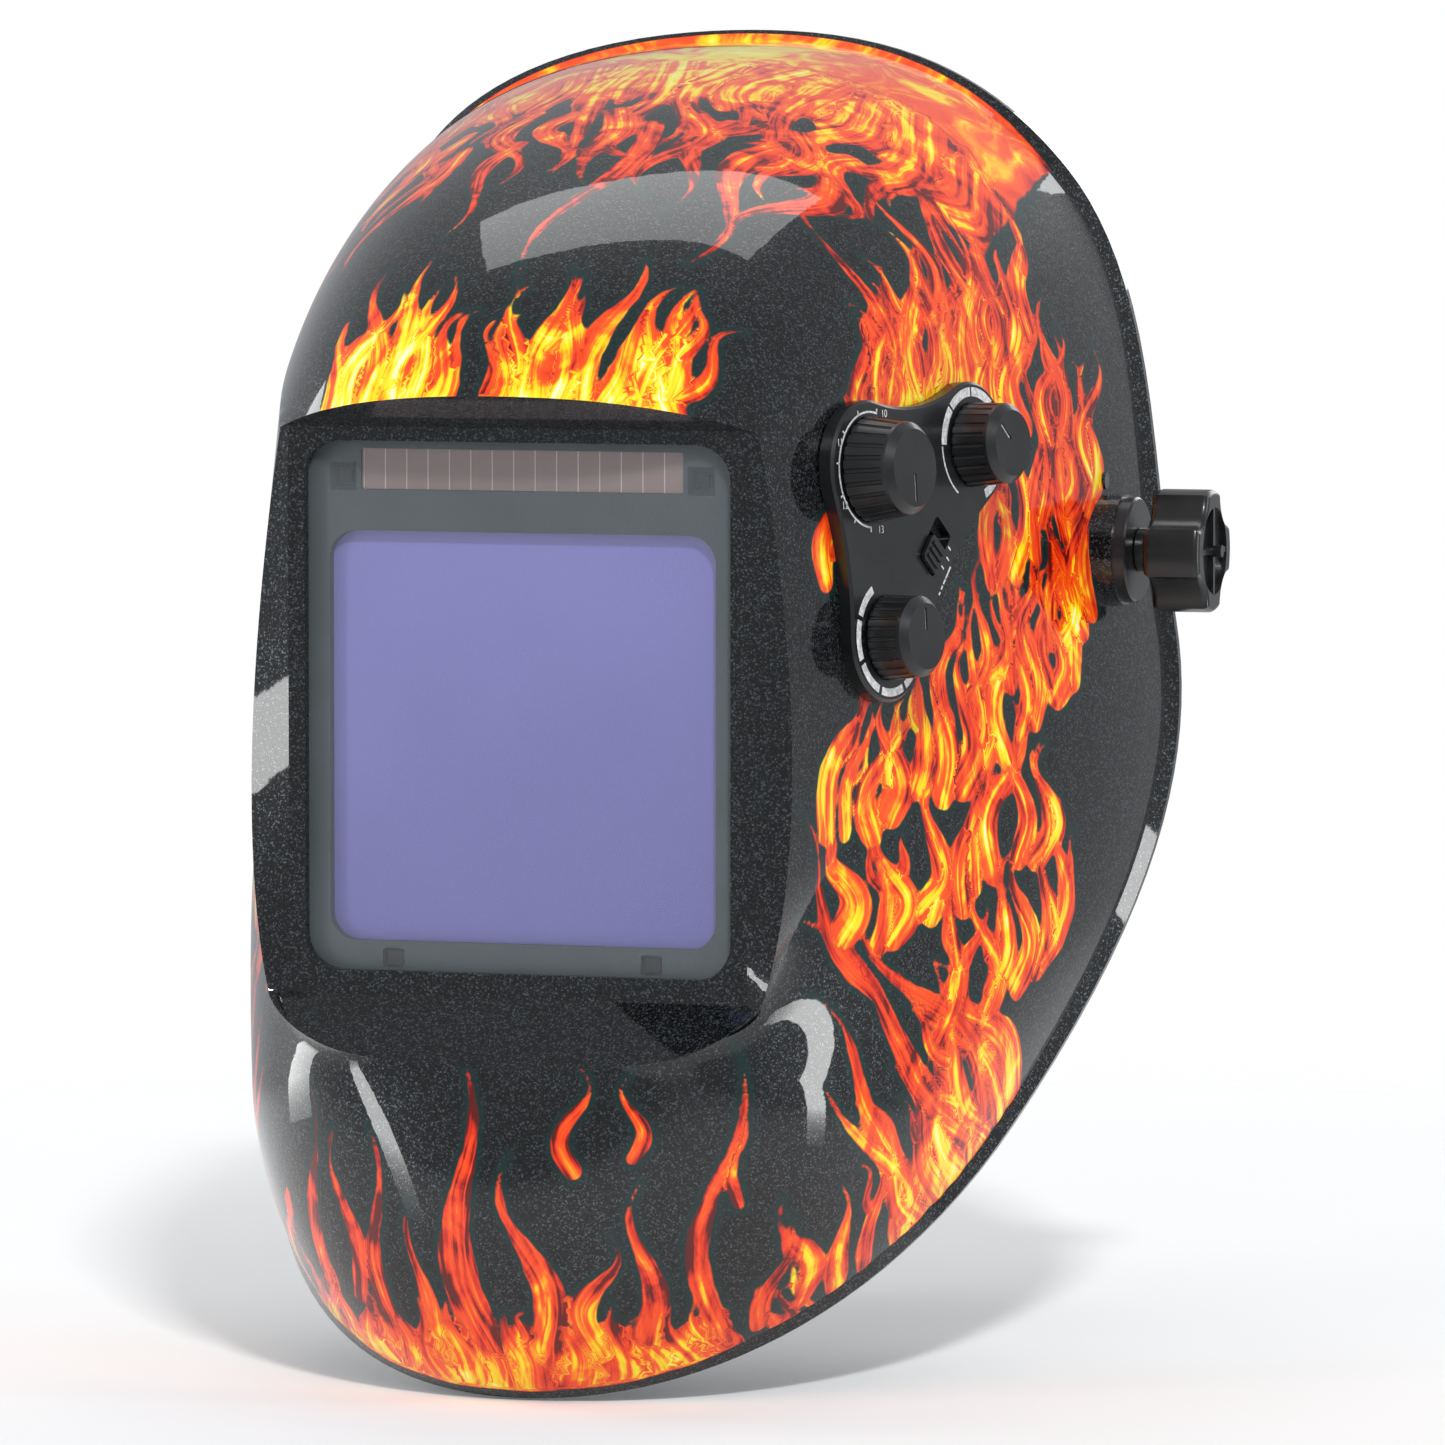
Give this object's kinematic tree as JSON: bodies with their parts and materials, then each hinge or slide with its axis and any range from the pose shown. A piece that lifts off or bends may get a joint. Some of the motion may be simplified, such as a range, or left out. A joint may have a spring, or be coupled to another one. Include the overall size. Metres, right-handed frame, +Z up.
{
  "type": "welding helmet",
  "caption": "Flip-up auto-darkening welding helmet with a dark filter cartridge, side control dials and an adjustable ratchet headband.",
  "frame": {"origin": "middle of the flip-up axis, half-way between the two pivots, about the middle of the wearer's head", "axes": "+Z up with the mask lowered; the lens faces -Y; +X is the wearer's left, the side with the control dials"},
  "size_m": [0.2577, 0.3022, 0.3367],
  "materials": {
    "shell_gloss": "glossy black moulded nylon with a printed and lacquered flame pattern",
    "clear_lens": "clear polycarbonate",
    "cartridge_plastic": "fine matt grey-teal moulding",
    "filter_glass": "violet interference-coated filter glass",
    "solar_cell": "brown amorphous silicon strip under glass",
    "sensor": "dark tinted epoxy",
    "circuit_board": "green solder mask",
    "holder_plastic": "satin black moulding",
    "button_rubber": "soft red rubber key",
    "screw_steel": "zinc-plated steel",
    "panel_plastic": "semi-gloss black moulding with printed white scales",
    "knob_plastic": "satin black fluted moulding",
    "pot_metal": "plated steel",
    "cell_steel": "bright nickel-plated steel",
    "pivot_plastic": "satin black glass-filled nylon",
    "headgear_plastic": "satin black flexible nylon",
    "ratchet_plastic": "satin black moulding",
    "rivet_nylon": "black nylon snap rivet",
    "pad_foam": "soft brushed fabric over foam",
    "spring_steel": "bright spring steel"
  },
  "bodies": {
    "headgear": {"headband": "headgear_plastic", "sweatband": "pad_foam", "nape_pad": "pad_foam", "crown_strap_left": "headgear_plastic", "crown_strap_right": "headgear_plastic", "top_strap": "headgear_plastic", "strap_rivets": "rivet_nylon", "pivot_arm_left": "pivot_plastic", "pivot_arm_right": "pivot_plastic", "pivot_bolts": "pivot_plastic", "ratchet_housing": "ratchet_plastic", "ratchet_cover": "ratchet_plastic", "ratchet_screws": "screw_steel"},
    "shell": {"shell": "shell_gloss", "front_cover_lens": "clear_lens", "filter_housing": "cartridge_plastic", "filter_glass": "filter_glass", "solar_panel": "solar_cell", "light_sensors": "sensor", "filter_board": "circuit_board", "filter_back": "cartridge_plastic", "inner_cover_lens": "clear_lens", "lens_holder": "holder_plastic", "holder_screws": "screw_steel", "control_panel": "panel_plastic", "potentiometers": "pot_metal", "pot_nuts": "pot_metal", "control_box": "holder_plastic", "control_board": "circuit_board", "panel_screws": "screw_steel", "pivot_washers": "pivot_plastic"},
    "tension_left": {"tension_knob_left": "pivot_plastic"},
    "tension_right": {"tension_knob_right": "pivot_plastic"},
    "shade_dial": {"shade_knob": "knob_plastic"},
    "delay_dial": {"delay_knob": "knob_plastic"},
    "sensitivity_dial": {"sensitivity_knob": "knob_plastic"},
    "mode_slider": {"mode_switch": "panel_plastic"},
    "test_key": {"test_button": "button_rubber"},
    "battery_drawer": {"battery_tray": "holder_plastic", "coin_cell": "cell_steel"},
    "latch": {"lens_latch": "holder_plastic"},
    "ratchet": {"ratchet_knob": "ratchet_plastic", "detent_spring": "spring_steel"},
    "rear_band_left": {"band_left": "headgear_plastic"},
    "rear_band_right": {"band_right": "headgear_plastic"}
  },
  "joints": [
    {"name": "flip_up", "type": "hinge", "parent": "headgear", "child": "shell", "pos_m": [0, 0, 0], "axis": [-1, 0, 0], "range_deg": [0, 60]},
    {"name": "tension_left_turn", "type": "hinge", "parent": "headgear", "child": "tension_left", "pos_m": [0.12, 0, 0], "axis": [1, 0, 0], "range_deg": [-180, 180]},
    {"name": "tension_right_turn", "type": "hinge", "parent": "headgear", "child": "tension_right", "pos_m": [-0.112, 0, 0], "axis": [-1, 0, 0], "range_deg": [-180, 180]},
    {"name": "shade_turn", "type": "hinge", "parent": "shell", "child": "shade_dial", "pos_m": [0.0799, -0.11585, 0.02496], "axis": [0.9627, -0.2637, 0.0613], "range_deg": [-195, 0]},
    {"name": "delay_turn", "type": "hinge", "parent": "shell", "child": "delay_dial", "pos_m": [0.0921, -0.07025, 0.02945], "axis": [0.9627, -0.2637, 0.0613], "range_deg": [-165, 75]},
    {"name": "sensitivity_turn", "type": "hinge", "parent": "shell", "child": "sensitivity_dial", "pos_m": [0.0835, -0.11238, -0.01656], "axis": [0.9627, -0.2637, 0.0613], "range_deg": [0, 225]},
    {"name": "mode_slide", "type": "slide", "parent": "shell", "child": "mode_slider", "axis": [0.1369, 0.6696, 0.73], "range_m": [0, 0.0054]},
    {"name": "test_press", "type": "slide", "parent": "shell", "child": "test_key", "axis": [0, -1, 0], "range_m": [0, 0.001], "stiffness_N_per_m": 300},
    {"name": "battery_slide", "type": "slide", "parent": "shell", "child": "battery_drawer", "axis": [0.0591, -0.0162, -0.9981], "range_m": [0, 0.02]},
    {"name": "latch_slide", "type": "slide", "parent": "shell", "child": "latch", "axis": [0, 0, 1], "range_m": [0, 0.005]},
    {"name": "ratchet_turn", "type": "hinge", "parent": "headgear", "child": "ratchet", "pos_m": [0, 0.10557, -0.0343], "axis": [0, 0.9511, -0.309], "range_deg": [-90, 90], "deforming": ["detent_spring"]},
    {"name": "band_left_slide", "type": "hinge", "parent": "headgear", "child": "rear_band_left", "pos_m": [0, 0.02378, -0.00773], "axis": [0, 0.309, 0.9511], "range_deg": [-6.6, 6.6]},
    {"name": "band_right_slide", "type": "hinge", "parent": "headgear", "child": "rear_band_right", "pos_m": [0, 0.02378, -0.00773], "axis": [0, 0.309, 0.9511], "range_deg": [-6.6, 6.6]}
  ],
  "couplings": [
    {"joint": "band_left_slide", "follows": "ratchet_turn", "ratio": -0.07225},
    {"joint": "band_right_slide", "follows": "ratchet_turn", "ratio": 0.07071}
  ]
}
